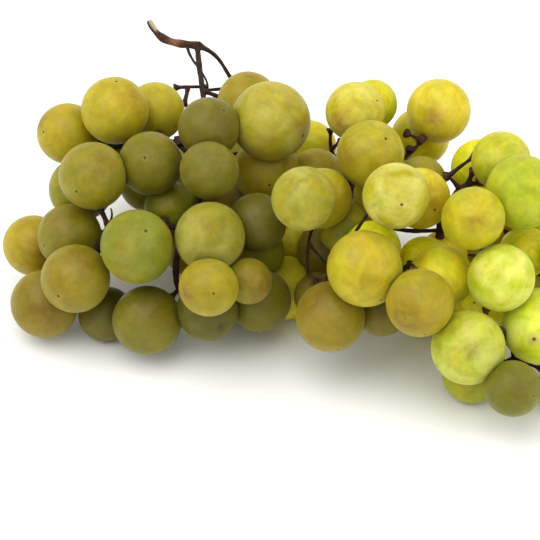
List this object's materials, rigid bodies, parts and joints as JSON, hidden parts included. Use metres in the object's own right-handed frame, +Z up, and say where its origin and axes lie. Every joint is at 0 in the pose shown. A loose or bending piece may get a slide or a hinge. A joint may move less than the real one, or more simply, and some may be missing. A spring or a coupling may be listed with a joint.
{
  "type": "bunch of grapes",
  "caption": "Winged bunch of white table grapes lying down, with round berries on short pedicels and a branched brown stem that ends in a cut peduncle.",
  "frame": {"origin": "middle of the bunch's outline, on the surface that it lies on", "axes": "+X along the bunch, from its wing to its tip; +Z up; the front is towards -Y"},
  "size_m": [0.2088, 0.163, 0.0753],
  "materials": {
    "stem_bark": "dry brown bark, fibrous, matt, with a pale cut end",
    "olive_skin": "thin translucent grape skin, olive yellow, satin, with whitish bloom",
    "lime_skin": "thin translucent grape skin, yellow green, satin, with whitish bloom"
  },
  "bodies": {
    "root": {"stem": "stem_bark", "berries_wing_tip": "olive_skin", "berries_wing_back": "olive_skin", "berries_wing_front": "olive_skin", "berries_shoulder": "olive_skin", "berries_middle": "olive_skin", "berries_body_back": "lime_skin", "berries_body_front": "lime_skin", "berries_body_low": "lime_skin", "berries_tip_top": "lime_skin", "berries_tip_front": "lime_skin", "berries_tip_end": "lime_skin"}
  },
  "joints": []
}
